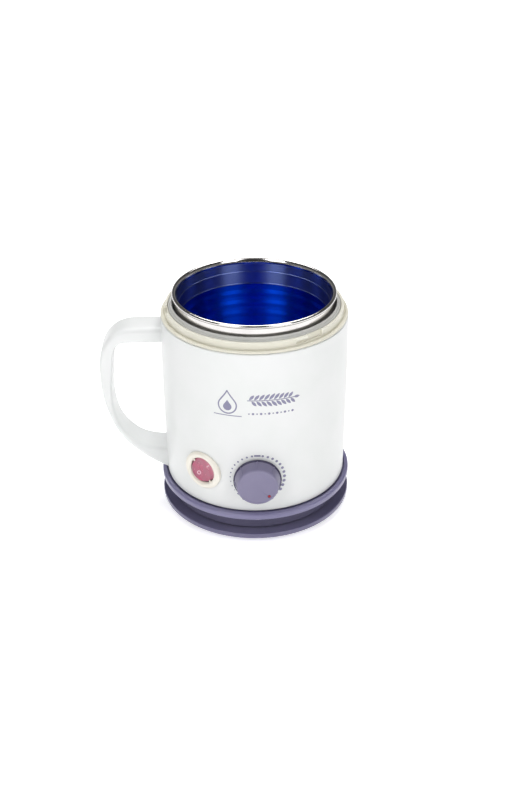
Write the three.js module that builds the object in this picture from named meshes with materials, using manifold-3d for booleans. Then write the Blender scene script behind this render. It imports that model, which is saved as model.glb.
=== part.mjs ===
// Wax warmer: a white insulated casing with a heated well, a lift-out blue-lined pot, a heat dial,
// a lit power rocker, a mug handle and a spool-shaped base that the cord winds round.
// Millimetres, +Z up. The origin is on the table, on the pot's axis. The dial faces -Y, the handle -X.
// Azimuth is measured round +Z from -Y, positive towards +X.

import * as THREE from 'three'
import { mergeVertices } from 'three/addons/utils/BufferGeometryUtils.js'
import Module from 'manifold-3d'

const wasm = await Module()
wasm.setup()

// Driving dimensions
const gap = 0.3
const facets = 36
const smallFacets = 16

const shell = { radius: 60.8, footRadius: 60.2, topRadius: 60.3, inner: 58.0, bottom: 23.9, top: 137.8 }
const base = { radius: 64, drumRadius: 57, drumInner: 54.6, footHeight: 3.7, underside: 4.0 }
const lowerFlange = { floor: 6.6, top: 8.4 }
const upperFlange = { bottom: 19.0, plateBottom: 19.8, plateTop: 22.0, top: 23.6, hatch: 20, plateEdge: 53.6 }
const spigot = { inner: 55.4, outer: 57.6, top: 29.0 }
const boss = { radius: 3.6, top: 44, rib: 2.4 }
const well = { inner: 52.4, outer: 53.8, underside: 67.6, floor: 69.2, top: 140.6 }
const wellFlange = { radius: 57.4, bottom: 134.6, top: 136.0 }
const collar = { wallOuter: 57.3, wallInner: 55.5, top: 144.3, ledge: 60.1, underside: 138.1 }
const collarSeat = { inner: 54.2, bottom: 136.3, top: 140.7 }
const gasket = { inner: 52.7, outer: 55.2, bottom: 141.0, shoulder: 143.9, top: 146.3 }
const pot = { body: 50.9, neck: 51.3, wall: 1.2, bottom: 69.5, floor: 70.9 }
const potRim = { height: 152.0, radius: 1.25 }
const potNeck = { bottom: 143.2, top: 144.6 }
const potBeads = { half: 0.6, upper: { radius: 48.5, height: 144.0 }, lower: { radius: 48.0, height: 135.7 } }
const heater = { inner: 54.1, outer: 55.2, bottom: 84, top: 112, split: 12 }
const strap = { inner: 55.5, outer: 56.0, bottom: 94, top: 102 }
const sleeve = { inner: 56.3, outer: 57.6, bottom: 80, top: 116 }
const sensor = { radius: 2.4, length: 44, y: 6, clip: 8 }
const fuse = { radius: 2.0, length: 16, y: 30, clip: 5 }
const handle = { width: 21, edge: 3.2, armTop: 131.2, armBottom: 120.4, reach: 101.0 }
const knob = { height: 48.9, radius: 15.4, faceRadius: 12.9, back: 61.6, face: 70.2, bore: 3.3, hub: 6.9 }
const knobRibs = { count: 8, width: 1.0, depth: 1.4, length: 7.0, radius: 13.4 }
const pointer = { radius: 10.2, angle: -45, size: 0.9, pit: 1.2 }
const thermostat = { back: 38, radius: 12, front: 54.4, bush: 4.6, bushFront: 64.2 }
const shaft = { radius: 2.9, back: 44.5 }
const rocker = { azimuth: -35, height: 49.5, roll: -45, radius: 8.1, pivot: 56.5, tilt: 8 }
const rockerPins = { radius: 1.2, reach: 8.6 }
const bezel = { outer: 13.3, opening: 9.0, barrel: 10.2, seat: 9.6, front: 62.4, back: 50.0, flangeBack: 57 }
const nub = { length: 1.7, width: 1.1, depth: 1.0, radius: 8.65, sink: 0.7 }
const housing = { radius: 10, back: 36, front: 49.7 }
const terminals = { width: 4.8, thick: 0.8, length: 7.7, radius: 31.85, offsets: [-5, 0, 5] }
const slots = { count: 3, entryFrom: 33, entryTo: 45, channelFrom: 25, floor: 140.5, channelTop: 142.5 }
const baseScrews = { radius: 51.5, azimuths: [70, 110, 250, 290], shank: 1.5, head: 3.2, tip: 40 }
const collarScrews = { radius: 55.75, azimuths: [90, 210, 330], shank: 0.9, head: 1.6, tip: 138.8 }
const handleScrews = { heights: [125.8, 36], shank: 1.6, head: 3.2, tip: 74 }
const feet = { radius: 6, centreRadius: 9, circle: 54, azimuths: [45, 135, 225, 315] }
const cordInlet = { height: 13.7, body: 4.4, bore: 3.3, flange: 4.9 }

// Finishes
const finish = (color, roughness, metalness) =>
  new THREE.MeshStandardMaterial({ color, roughness, metalness })
const whitePlastic = finish('#f0f1ef', 0.35, 0)
const creamPlastic = finish('#e4e0d2', 0.45, 0)
const greyRubber = finish('#b3b2ad', 0.7, 0)
const blackRubber = finish('#1c1c1e', 0.85, 0)
const purplePlastic = finish('#7f7a9c', 0.4, 0)
const darkPlumPlastic = finish('#3f3b56', 0.5, 0)
const redPlastic = finish('#b02a3a', 0.4, 0)
const pinkClear = finish('#c85a80', 0.2, 0)
const bareSteel = finish('#b8b8b6', 0.35, 1)
const bareAluminium = finish('#c4c6c8', 0.4, 1)
const blueMetal = finish('#0a3fc4', 0.15, 1)
const copper = finish('#b87048', 0.4, 1)
const heaterMat = finish('#b5541f', 0.7, 0)
const fibre = finish('#d9d6cc', 0.95, 0)
const glass = finish('#e8c9b8', 0.1, 0)
const blackPlastic = finish('#222226', 0.5, 0)
const wireBlue = finish('#2b4f9c', 0.55, 0)
const wireBrown = finish('#6a4329', 0.55, 0)

// Solids
const solidFrom = (geometry) => {
  geometry.deleteAttribute('normal')
  geometry.deleteAttribute('uv')
  const merged = mergeVertices(geometry, 1e-4)
  const corners = merged.index.array
  const triangles = []
  for (let i = 0; i < corners.length; i += 3) {
    const [a, b, c] = [corners[i], corners[i + 1], corners[i + 2]]
    if (a !== b && b !== c && c !== a) triangles.push(a, b, c)
  }
  const vertProperties = Float32Array.from(merged.attributes.position.array)
  const triVerts = Uint32Array.from(triangles)
  return new wasm.Manifold(new wasm.Mesh({ numProp: 3, vertProperties, triVerts }))
}

const geometryFrom = (solid) => {
  const { vertProperties, triVerts, numProp } = solid.getMesh()
  const positions = new Float32Array((vertProperties.length / numProp) * 3)
  for (let i = 0; i < positions.length / 3; i += 1) {
    for (let k = 0; k < 3; k += 1) positions[i * 3 + k] = vertProperties[i * numProp + k]
  }
  const geometry = new THREE.BufferGeometry()
  geometry.setAttribute('position', new THREE.BufferAttribute(positions, 3))
  geometry.setIndex(new THREE.BufferAttribute(Uint32Array.from(triVerts), 1))
  return geometry
}

// A body of revolution about Z from [radius, height] points; a ring's outline is closed on itself.
const turned = (outline, segments = facets) => {
  const points = outline.map(([radius, height]) => new THREE.Vector2(radius, height))
  const onAxis = points[0].x === 0 && points[points.length - 1].x === 0
  if (THREE.ShapeUtils.isClockWise(points)) points.reverse()
  if (!onAxis) points.push(points[0].clone())
  return solidFrom(new THREE.LatheGeometry(points, segments).rotateX(Math.PI / 2))
}

const ring = (inner, outer, from, to, segments = facets) =>
  turned([[inner, from], [outer, from], [outer, to], [inner, to]], segments)

const rod = (radius, from, to, segments = smallFacets) =>
  turned([[0, from], [radius, from], [radius, to], [0, to]], segments)

const box = (sizeX, sizeY, sizeZ, x, y, z) =>
  solidFrom(new THREE.BoxGeometry(sizeX, sizeY, sizeZ).translate(x, y, z))

const placed = (solid, matrix) => solidFrom(geometryFrom(solid).applyMatrix4(matrix))

// Local +Z points away from the axis at the azimuth, local +Y stays up unless it is rolled round +Z,
// and local z is the radius.
const outwardMatrix = (azimuth, height, roll = 0) => {
  const angle = THREE.MathUtils.degToRad(azimuth)
  const across = new THREE.Vector3(Math.cos(angle), Math.sin(angle), 0)
  const up = new THREE.Vector3(0, 0, 1)
  const outward = new THREE.Vector3(Math.sin(angle), -Math.cos(angle), 0)
  const frame = new THREE.Matrix4().makeBasis(across, up, outward).setPosition(0, 0, height)
  return frame.multiply(new THREE.Matrix4().makeRotationZ(THREE.MathUtils.degToRad(roll)))
}

const onCircle = (radius, azimuth, height) => {
  const angle = THREE.MathUtils.degToRad(azimuth)
  return new THREE.Vector3(radius * Math.sin(angle), -radius * Math.cos(angle), height)
}

const standing = (radius, azimuth) => new THREE.Matrix4().setPosition(onCircle(radius, azimuth, 0))

const arc = (centreR, centreZ, radius, from, to, steps) => {
  const points = []
  for (let i = 0; i <= steps; i += 1) {
    const angle = THREE.MathUtils.degToRad(from + ((to - from) * i) / steps)
    points.push([centreR + radius * Math.cos(angle), centreZ + radius * Math.sin(angle)])
  }
  return points
}

const tube = (points, radius, steps) => {
  const section = new THREE.Shape().absarc(0, 0, radius, 0, Math.PI * 2)
  const route = new THREE.CatmullRomCurve3(points.map((p) => new THREE.Vector3(...p)))
  return solidFrom(new THREE.ExtrudeGeometry(section, { steps, extrudePath: route, curveSegments: 4 }))
}

const model = new THREE.Group()
const outwardGroup = (azimuth, height, roll = 0) => {
  const group = new THREE.Group()
  outwardMatrix(azimuth, height, roll).decompose(group.position, group.quaternion, group.scale)
  model.add(group)
  return group
}
const addMesh = (name, solid, material, parent = model) => {
  const mesh = new THREE.Mesh(geometryFrom(solid), material)
  mesh.name = name
  parent.add(mesh)
  return mesh
}

// Outer shell: a slightly barrelled tube with screw bosses inside and holes for the fittings
const shellBoss = (azimuth) => {
  const bottom = spigot.top + 2 * gap
  const stand = standing(baseScrews.radius, azimuth)
  const post = placed(rod(boss.radius, bottom, boss.top), stand)
  const ribLength = shell.inner + 1 - baseScrews.radius
  const ribCentre = baseScrews.radius + ribLength / 2
  const rib = placed(
    box(boss.rib, boss.top - bottom, ribLength, 0, (boss.top + bottom) / 2, ribCentre),
    outwardMatrix(azimuth, 0)
  )
  const bore = placed(rod(baseScrews.shank + gap, bottom - 1, baseScrews.tip + 1), stand)
  return post.add(rib).subtract(bore)
}

const shellHole = (radius, azimuth, height) => placed(rod(radius, 50, 66), outwardMatrix(azimuth, height))

const makeOuterShell = () => {
  let solid = turned([
    [shell.inner, shell.bottom],
    [shell.footRadius, shell.bottom],
    [shell.radius - 0.15, 60],
    [shell.radius, 100],
    [shell.topRadius, shell.top - 0.9],
    [shell.topRadius - 0.5, shell.top],
    [shell.inner, shell.top],
  ])
  for (const azimuth of baseScrews.azimuths) solid = solid.add(shellBoss(azimuth))
  solid = solid.subtract(shellHole(thermostat.bush + 0.4, 0, knob.height))
  solid = solid.subtract(shellHole(bezel.barrel + gap, rocker.azimuth, rocker.height))
  for (const height of handleScrews.heights) {
    solid = solid.subtract(shellHole(handleScrews.shank + gap, -90, height))
  }
  return solid
}

// Handle: a mug loop, thin at the grip and deep where it meets the casing low down.
// The outer and inner edges are matched station by station, with a rounded section between them.
const plane = (x, z) => new THREE.Vector3(x, 0, z)
const handleEdges = [
  {
    steps: 3,
    outer: new THREE.LineCurve3(plane(-58, handle.armTop), plane(-77, handle.armTop)),
    inner: new THREE.LineCurve3(plane(-58, handle.armBottom), plane(-84, handle.armBottom)),
  },
  {
    steps: 8,
    outer: new THREE.CubicBezierCurve3(
      plane(-77, handle.armTop),
      plane(-90, handle.armTop),
      plane(-handle.reach, 122),
      plane(-handle.reach, 102)
    ),
    inner: new THREE.CubicBezierCurve3(
      plane(-84, handle.armBottom),
      plane(-93, handle.armBottom),
      plane(-91.5, 106),
      plane(-93.9, 88)
    ),
  },
  {
    steps: 14,
    outer: new THREE.CubicBezierCurve3(
      plane(-handle.reach, 102),
      plane(-103, 62),
      plane(-86.5, 38.5),
      plane(-58, 24.3)
    ),
    inner: new THREE.CubicBezierCurve3(
      plane(-93.9, 88),
      plane(-95.5, 58),
      plane(-84, 42.2),
      plane(-58, 42.2)
    ),
  },
]

const roundedSection = (outer, inner) => {
  const middle = outer.clone().add(inner).multiplyScalar(0.5)
  const out = outer.clone().sub(inner)
  const halfThickness = out.length() / 2
  out.normalize()
  const points = []
  for (let corner = 0; corner < 4; corner += 1) {
    const outSign = corner === 0 || corner === 3 ? 1 : -1
    const acrossSign = corner < 2 ? 1 : -1
    for (let k = 0; k < 3; k += 1) {
      const angle = (corner * Math.PI) / 2 + (k * Math.PI) / 4
      const u = outSign * (halfThickness - handle.edge) + handle.edge * Math.cos(angle)
      const v = acrossSign * (handle.width / 2 - handle.edge) + handle.edge * Math.sin(angle)
      points.push(middle.clone().addScaledVector(out, u).add(new THREE.Vector3(0, v, 0)))
    }
  }
  return points
}

const lofted = (sections) => {
  const count = sections[0].length
  const last = (sections.length - 1) * count
  const triangles = []
  for (let i = 0; i < sections.length - 1; i += 1) {
    for (let k = 0; k < count; k += 1) {
      const a = i * count + k
      const b = i * count + ((k + 1) % count)
      triangles.push(a, b, b + count, a, b + count, a + count)
    }
  }
  for (let k = 1; k < count - 1; k += 1) {
    triangles.push(0, k + 1, k, last, last + k, last + k + 1)
  }
  const vertProperties = Float32Array.from(sections.flat().flatMap((p) => [p.x, p.y, p.z]))
  const triVerts = Uint32Array.from(triangles)
  return new wasm.Manifold(new wasm.Mesh({ numProp: 3, vertProperties, triVerts }))
}

const makeHandle = () => {
  const sections = []
  for (const edge of handleEdges) {
    const first = sections.length === 0 ? 0 : 1
    for (let i = first; i <= edge.steps; i += 1) {
      const t = i / edge.steps
      sections.push(roundedSection(edge.outer.getPoint(t), edge.inner.getPoint(t)))
    }
  }
  let solid = lofted(sections).subtract(rod(shell.radius + gap, 10, 150, facets))
  for (const height of handleScrews.heights) {
    const bore = placed(rod(handleScrews.shank + gap, 55, handleScrews.tip + 1), outwardMatrix(-90, height))
    solid = solid.subtract(bore)
  }
  return solid
}

// A pan-head screw that points up local +Z
const pan = (shank, head, from, seat, tip) =>
  turned([
    [0, from],
    [head * 0.75, from],
    [head, from + 0.7],
    [head, seat],
    [shank, seat],
    [shank, tip],
    [0, tip],
  ], 12)

// Collar: the cream ring on the casing's top edge, with a stepped bayonet wall for a cover
const slotCutter = (from, to, bottom, top) => {
  const middle = (from + to) / 2
  const reach = 60
  const width = 2 * reach * Math.tan(THREE.MathUtils.degToRad((to - from) / 2))
  const wedge = new THREE.Shape()
  wedge.moveTo(0, 0)
  wedge.lineTo(width / 2, reach)
  wedge.lineTo(-width / 2, reach)
  wedge.closePath()
  const block = new THREE.ExtrudeGeometry(wedge, { depth: top - bottom, bevelEnabled: false })
  block.rotateZ(Math.PI + THREE.MathUtils.degToRad(middle)).translate(0, 0, bottom)
  return solidFrom(block).subtract(rod(collar.wallInner + 0.9, bottom - 1, top + 1, facets))
}

const collarScrewHole = (azimuth) => {
  const bore = rod(collarScrews.shank + gap, wellFlange.bottom - 1, collarScrews.tip + 0.4, 12)
  return placed(bore, standing(collarScrews.radius, azimuth))
}

const makeCollar = () => {
  let solid = turned([
    [collarSeat.inner, collarSeat.bottom],
    [shell.inner - gap, collarSeat.bottom],
    [shell.inner - gap, collar.underside],
    [collar.ledge, collar.underside],
    [collar.ledge, collar.underside + 0.6],
    [collar.ledge - 0.4, collar.underside + 1.1],
    [collar.wallOuter, collar.underside + 1.9],
    [collar.wallOuter, collar.top - 0.4],
    [collar.wallOuter - 0.4, collar.top],
    [collar.wallInner + 0.4, collar.top],
    [collar.wallInner, collar.top - 0.4],
    [collar.wallInner, collarSeat.top],
    [collarSeat.inner, collarSeat.top],
  ])
  for (let i = 0; i < slots.count; i += 1) {
    const turn = (i * 360) / slots.count
    solid = solid.subtract(slotCutter(slots.entryFrom + turn, slots.entryTo + turn, slots.floor, 146))
    solid = solid.subtract(
      slotCutter(slots.channelFrom + turn, slots.entryFrom + turn + 1, slots.floor, slots.channelTop)
    )
  }
  for (const azimuth of collarScrews.azimuths) solid = solid.subtract(collarScrewHole(azimuth))
  return solid
}

const makeGasket = () =>
  turned([
    [gasket.inner, gasket.bottom],
    [gasket.outer, gasket.bottom],
    [gasket.outer, gasket.shoulder],
    [gasket.outer - 0.3, gasket.shoulder + 1],
    [gasket.outer - 0.85, gasket.top - 0.8],
    [gasket.outer - 1.25, gasket.top - 0.8],
    [gasket.outer - 1.7, gasket.top],
    [gasket.inner + 0.3, gasket.top],
    [gasket.inner, gasket.top - 0.4],
  ])

// Heating well: the aluminium cup that the pot stands in
const makeWell = () => {
  let solid = turned([
    [0, well.underside],
    [well.outer - 3, well.underside],
    [well.outer, well.underside + 3],
    [well.outer, wellFlange.bottom],
    [wellFlange.radius, wellFlange.bottom],
    [wellFlange.radius, wellFlange.top],
    [well.outer, wellFlange.top],
    [well.outer, well.top],
    [well.inner, well.top],
    [well.inner, well.floor + 2.4],
    [well.inner - 2.4, well.floor],
    [0, well.floor],
  ])
  for (const azimuth of collarScrews.azimuths) solid = solid.subtract(collarScrewHole(azimuth))
  return solid
}

// Insert pot: spun metal with a rolled rim, a neck and two rolled beads inside
const makePot = () => {
  const inner = pot.neck - pot.wall
  const innerBody = pot.body - pot.wall
  const rimRing = arc(pot.neck, potRim.height, potRim.radius, -90, 210, 8)
  const { half, upper, lower } = potBeads
  return turned([
    [0, pot.bottom],
    [pot.body - 4, pot.bottom],
    [pot.body - 1.2, pot.bottom + 1.2],
    [pot.body, pot.bottom + 4],
    [pot.body, potNeck.bottom],
    [pot.neck, potNeck.top],
    ...rimRing,
    [inner, potRim.height - 1.4],
    [inner, upper.height + half + 0.8],
    [upper.radius, upper.height + half],
    [upper.radius, upper.height - half],
    [innerBody - 0.3, upper.height - half - 0.8],
    [innerBody - 0.3, lower.height + half + 0.9],
    [lower.radius, lower.height + half],
    [lower.radius, lower.height - half],
    [innerBody, lower.height - half - 0.9],
    [innerBody, pot.floor + 3.4],
    [innerBody - 3.4, pot.floor],
    [0, pot.floor],
  ])
}

// Base: two flanges with the cord-wrap drum between them
const verticalHoles = (solid, radius, from, to) => {
  let drilled = solid
  for (const azimuth of baseScrews.azimuths) {
    drilled = drilled.subtract(placed(rod(radius, from, to), standing(baseScrews.radius, azimuth)))
  }
  return drilled
}

const makeUpperFlange = () => {
  const solid = turned([
    [upperFlange.hatch, upperFlange.plateBottom],
    [upperFlange.plateEdge, upperFlange.plateBottom],
    [upperFlange.plateEdge, upperFlange.bottom],
    [base.radius - 1.2, upperFlange.bottom],
    [base.radius, upperFlange.bottom + 0.9],
    [base.radius, upperFlange.top - 2.4],
    [base.radius - 0.8, upperFlange.top - 0.8],
    [base.radius - 2.4, upperFlange.top],
    [spigot.outer, upperFlange.top],
    [spigot.outer, spigot.top],
    [spigot.inner, spigot.top],
    [spigot.inner, upperFlange.plateTop],
    [upperFlange.hatch, upperFlange.plateTop],
  ])
  return verticalHoles(solid, baseScrews.shank + gap, 18, 30)
}

const makeDrum = () => {
  const tubeWall = ring(base.drumInner, base.drumRadius, lowerFlange.top + gap, upperFlange.bottom - gap)
  return tubeWall.subtract(placed(rod(cordInlet.body + gap, 50, 60), outwardMatrix(180, cordInlet.height)))
}

const makeLowerFlange = () => {
  const solid = turned([
    [0, base.underside],
    [base.radius - 2, base.underside],
    [base.radius - 0.5, base.underside + 0.8],
    [base.radius, base.underside + 2],
    [base.radius, lowerFlange.top - 1.4],
    [base.radius - 0.4, lowerFlange.top - 0.5],
    [base.radius - 1.4, lowerFlange.top],
    [52.8, lowerFlange.top],
    [51.8, lowerFlange.floor],
    [0, lowerFlange.floor],
  ])
  return verticalHoles(solid, baseScrews.shank + gap, 3, 9)
}

const makeFoot = (radius) =>
  turned([[0, 0], [radius - 0.6, 0], [radius, 0.6], [radius, base.footHeight], [0, base.footHeight]], 16)

// Dial: a tapered knob with eight grip ribs, its red pointer and the thermostat behind it
const pointerAngle = THREE.MathUtils.degToRad(pointer.angle)
const pointerMatrix = new THREE.Matrix4().setPosition(
  pointer.radius * Math.cos(pointerAngle),
  pointer.radius * Math.sin(pointerAngle),
  0
)

const makeKnob = () => {
  let solid = turned([
    [knob.bore, knob.back + 3.6],
    [knob.hub, knob.back + 3.6],
    [knob.hub, knob.back],
    [knob.radius, knob.back],
    [knob.radius, knob.back + 0.8],
    [knob.radius - 0.9, knob.back + 1.6],
    [knob.faceRadius + 0.3, knob.face - 1.4],
    [knob.faceRadius - 0.3, knob.face - 0.4],
    [knob.faceRadius - 1.0, knob.face],
    [0, knob.face],
    [0, knob.face - 1.8],
    [knob.bore, knob.face - 1.8],
  ], 32)
  for (let i = 0; i < knobRibs.count; i += 1) {
    const rib = box(knobRibs.width, knobRibs.depth, knobRibs.length, 0, knobRibs.radius, knob.back + 4.2)
    const turn = new THREE.Matrix4().makeRotationZ((i * 2 * Math.PI) / knobRibs.count)
    solid = solid.add(placed(rib, turn))
  }
  return solid.subtract(placed(rod(pointer.pit, knob.face - 0.8, knob.face + 1, 12), pointerMatrix))
}

const makeThermostat = () =>
  turned([
    [0, thermostat.back],
    [thermostat.radius, thermostat.back],
    [thermostat.radius, thermostat.front],
    [thermostat.bush, thermostat.front],
    [thermostat.bush, thermostat.bushFront],
    [shaft.radius + gap, thermostat.bushFront],
    [shaft.radius + gap, shaft.back - 0.5],
    [0, shaft.back - 0.5],
  ])

const makeNut = () =>
  rod(6.4, 61.2, 63.8, 6).subtract(rod(thermostat.bush + gap, 61, 64))

// Power switch: a cream bezel with a barrel through the casing, a rocker and the contact block.
// In the fitting's own frame the casing's axis is the local Y axis.
const outwardToAxis = new THREE.Matrix4().makeRotationX(Math.PI / 2)

const makeBezel = () => {
  const flange = turned([
    [bezel.seat, bezel.flangeBack],
    [bezel.outer, bezel.flangeBack],
    [bezel.outer, bezel.front - 1.0],
    [bezel.outer - 1.2, bezel.front],
    [bezel.seat, bezel.front],
  ], 32)
  const casing = placed(rod(shell.radius + gap, -20, 20, 72), outwardToAxis)
  const barrel = turned([
    [bezel.opening, bezel.back],
    [bezel.barrel, bezel.back],
    [bezel.barrel, bezel.front],
    [bezel.opening + 0.5, bezel.front],
    [bezel.opening, bezel.front - 0.5],
  ], 32)
  let solid = flange.subtract(casing).add(barrel)
  for (const turn of [rocker.roll, rocker.roll + 180]) {
    const block = box(nub.length, nub.width, nub.depth, nub.radius, 0, bezel.front - nub.sink)
    solid = solid.add(placed(block, new THREE.Matrix4().makeRotationZ(THREE.MathUtils.degToRad(turn))))
  }
  return solid
}

const makeRocker = () => {
  const side = new THREE.Shape()
  side.moveTo(-rocker.radius, -1.9)
  side.lineTo(rocker.radius, -1.9)
  side.lineTo(rocker.radius, 4.6)
  side.quadraticCurveTo(0, 2.9, -rocker.radius, 4.6)
  side.closePath()
  const slab = new THREE.ExtrudeGeometry(side, { depth: 18, bevelEnabled: false, curveSegments: 6 })
  slab.translate(0, 0, -9).rotateY(Math.PI / 2).rotateX(Math.PI / 2)
  const paddle = solidFrom(slab).intersect(rod(rocker.radius, -4, 8, 32))
  const lying = new THREE.Matrix4().makeRotationY(Math.PI / 2)
  const pins = placed(rod(rockerPins.radius, -rockerPins.reach, rockerPins.reach, 12), lying)
  const tilt = new THREE.Matrix4().makeRotationX(THREE.MathUtils.degToRad(-rocker.tilt))
  const lift = new THREE.Matrix4().makeTranslation(0, 0, rocker.pivot)
  return placed(paddle.add(pins), lift.multiply(tilt))
}

// A strap that crosses under a round element, with a flat ear each side against the floor above it
const saddle = (radius, length) => {
  const ear = 4
  const thick = 0.6
  const inside = radius + gap
  const strap = new THREE.Shape()
  strap.moveTo(-inside - ear, 0)
  strap.lineTo(-inside, 0)
  strap.lineTo(-inside, -inside)
  strap.absarc(0, -inside, inside, Math.PI, Math.PI * 2, false)
  strap.lineTo(inside, 0)
  strap.lineTo(inside + ear, 0)
  strap.lineTo(inside + ear, -thick)
  strap.lineTo(inside + thick, -thick)
  strap.lineTo(inside + thick, -inside)
  strap.absarc(0, -inside, inside + thick, 0, -Math.PI, true)
  strap.lineTo(-inside - thick, -thick)
  strap.lineTo(-inside - ear, -thick)
  strap.closePath()
  const body = new THREE.ExtrudeGeometry(strap, { depth: length, bevelEnabled: false, curveSegments: 8 })
  return solidFrom(body.rotateX(Math.PI / 2).rotateZ(Math.PI / 2).translate(-length / 2, 0, 0))
}

const lyingRod = (radius, length, x, y, z) => {
  const turn = new THREE.Matrix4().makeRotationY(Math.PI / 2).setPosition(x, y, z)
  return placed(rod(radius, -length / 2, length / 2, 16), turn)
}

// Casing, collar and seal
addMesh('outer_shell', makeOuterShell(), whitePlastic)
addMesh('handle', makeHandle(), whitePlastic)
addMesh('collar_ring', makeCollar(), creamPlastic)
addMesh('rim_gasket', makeGasket(), greyRubber)
handleScrews.heights.forEach((height, i) => {
  const screw = pan(handleScrews.shank, handleScrews.head, 55.9, 57.7, handleScrews.tip)
  addMesh(['handle_screw_upper', 'handle_screw_lower'][i], screw, bareSteel, outwardGroup(-90, height))
})

// Well, heater and lift-out pot
addMesh('heating_well', makeWell(), bareAluminium)
collarScrews.azimuths.forEach((azimuth, i) => {
  const seat = wellFlange.bottom - gap
  const screw = pan(collarScrews.shank, collarScrews.head, seat - 1.9, seat, collarScrews.tip)
  addMesh(`collar_screw_${i + 1}`, screw, bareSteel).position.copy(onCircle(collarScrews.radius, azimuth, 0))
})
const heaterSplit = box(heater.split, 20, 60, 0, heater.outer, heater.bottom + 16)
const heaterRing = ring(heater.inner, heater.outer, heater.bottom, heater.top)
addMesh('heater_band', heaterRing.subtract(heaterSplit), heaterMat)
addMesh('heater_strap', ring(strap.inner, strap.outer, strap.bottom, strap.top), bareSteel)
addMesh('insulation_sleeve', ring(sleeve.inner, sleeve.outer, sleeve.bottom, sleeve.top), fibre)
addMesh('insert_pot', makePot(), blueMetal)

// Sensing parts under the well
const wellUnderside = well.underside - gap
const addUnderWell = (name, clipName, { radius, length, y, clip }, material) => {
  addMesh(name, lyingRod(radius, length, 0, y, wellUnderside - radius - gap), material)
  addMesh(clipName, saddle(radius, clip), bareSteel).position.set(0, y, wellUnderside)
}
addUnderWell('sensor_bulb', 'sensor_clip', sensor, copper)
addUnderWell('thermal_fuse', 'fuse_clip', fuse, bareSteel)

// Dial group
const front = outwardGroup(0, knob.height)
addMesh('thermostat_body', makeThermostat(), blackPlastic, front)
addMesh('thermostat_nut', makeNut(), bareSteel, front)
addMesh('thermostat_shaft', rod(shaft.radius, shaft.back, knob.face - 2.2), bareAluminium, front)
addMesh('temperature_knob', makeKnob(), purplePlastic, front)
const pointerDot = placed(rod(pointer.size, knob.face - 0.5, knob.face, 12), pointerMatrix)
addMesh('knob_pointer', pointerDot, redPlastic, front)

// Switch group
addMesh('switch_bezel', makeBezel(), creamPlastic, outwardGroup(rocker.azimuth, rocker.height))
const side = outwardGroup(rocker.azimuth, rocker.height, rocker.roll)
addMesh('power_rocker', makeRocker(), pinkClear, side)
addMesh('switch_housing', rod(housing.radius, housing.back, housing.front, 32), blackPlastic, side)
addMesh('neon_lamp', lyingRod(1.2, 9, 0, 0, 51.5), glass, side)
terminals.offsets.forEach((offset, i) => {
  const blade = box(terminals.width, terminals.thick, terminals.length, 0, offset, terminals.radius)
  addMesh(`switch_terminal_${i + 1}`, blade, copper, side)
})

// Base
addMesh('base_flange_upper', makeUpperFlange(), purplePlastic)
addMesh('base_drum', makeDrum(), darkPlumPlastic)
addMesh('base_flange_lower', makeLowerFlange(), purplePlastic)
baseScrews.azimuths.forEach((azimuth, i) => {
  const screw = pan(baseScrews.shank, baseScrews.head, 1.9, 3.7, baseScrews.tip)
  addMesh(`base_screw_${i + 1}`, screw, bareSteel).position.copy(onCircle(baseScrews.radius, azimuth, 0))
})
feet.azimuths.forEach((azimuth, i) => {
  const foot = addMesh(`foot_${i + 1}`, makeFoot(feet.radius), blackRubber)
  foot.position.copy(onCircle(feet.circle, azimuth, 0))
})
addMesh('foot_centre', makeFoot(feet.centreRadius), blackRubber)
const inlet = turned([
  [cordInlet.bore, 51],
  [cordInlet.body, 51],
  [cordInlet.body, 57.3],
  [cordInlet.flange, 57.3],
  [cordInlet.flange, 58.3],
  [cordInlet.body, 59.2],
  [cordInlet.bore, 59.2],
], 24)
addMesh('cord_inlet', inlet, blackPlastic, outwardGroup(180, cordInlet.height))

// Wiring inside the casing
addMesh('terminal_block', box(26, 12, 11, 0, 32, upperFlange.plateTop + gap + 5.5), creamPlastic)
const wires = {
  blockToSwitch: [[-8, 24.8, 29], [-10, 16, 34], [-14, 0, 40], [-14.5, -14, 46], [-15.4, -22.3, 49.5]],
  switchToThermostat: [[-12.3, -23.7, 53], [-7, -21, 52], [-2, -26, 50], [0, -33, 49], [0, -37.6, 49]],
  blockToFuse: [[8, 24.8, 29], [12, 20, 38], [17, 22, 50], [16, 28, 61], [9.6, 30, 65]],
}
addMesh('wire_block_to_switch', tube(wires.blockToSwitch, 1.1, 16), wireBlue)
addMesh('wire_switch_to_thermostat', tube(wires.switchToThermostat, 1.1, 14), wireBrown)
addMesh('wire_block_to_fuse', tube(wires.blockToFuse, 1.1, 16), wireBrown)
const capillary = [[22.5, 6, 64.6], [28, 2, 62], [26, -14, 56], [16, -28, 54], [6, -34, 54], [5, -37.6, 54]]
addMesh('capillary_tube', tube(capillary, 0.8, 20), copper)

export default model
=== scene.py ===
"""Wax warmer pot: the looks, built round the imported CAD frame.

Metres in the scene; outlines are written in millimetres and scaled by MM. The dial faces -Y, the handle
points to -X, azimuth is measured round +Z from -Y and is positive towards +X.
"""

from math import cos, degrees, hypot, pi, radians, sin, sqrt, tan, tau

import bmesh
import bpy
from mathutils import Matrix, Vector


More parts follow.
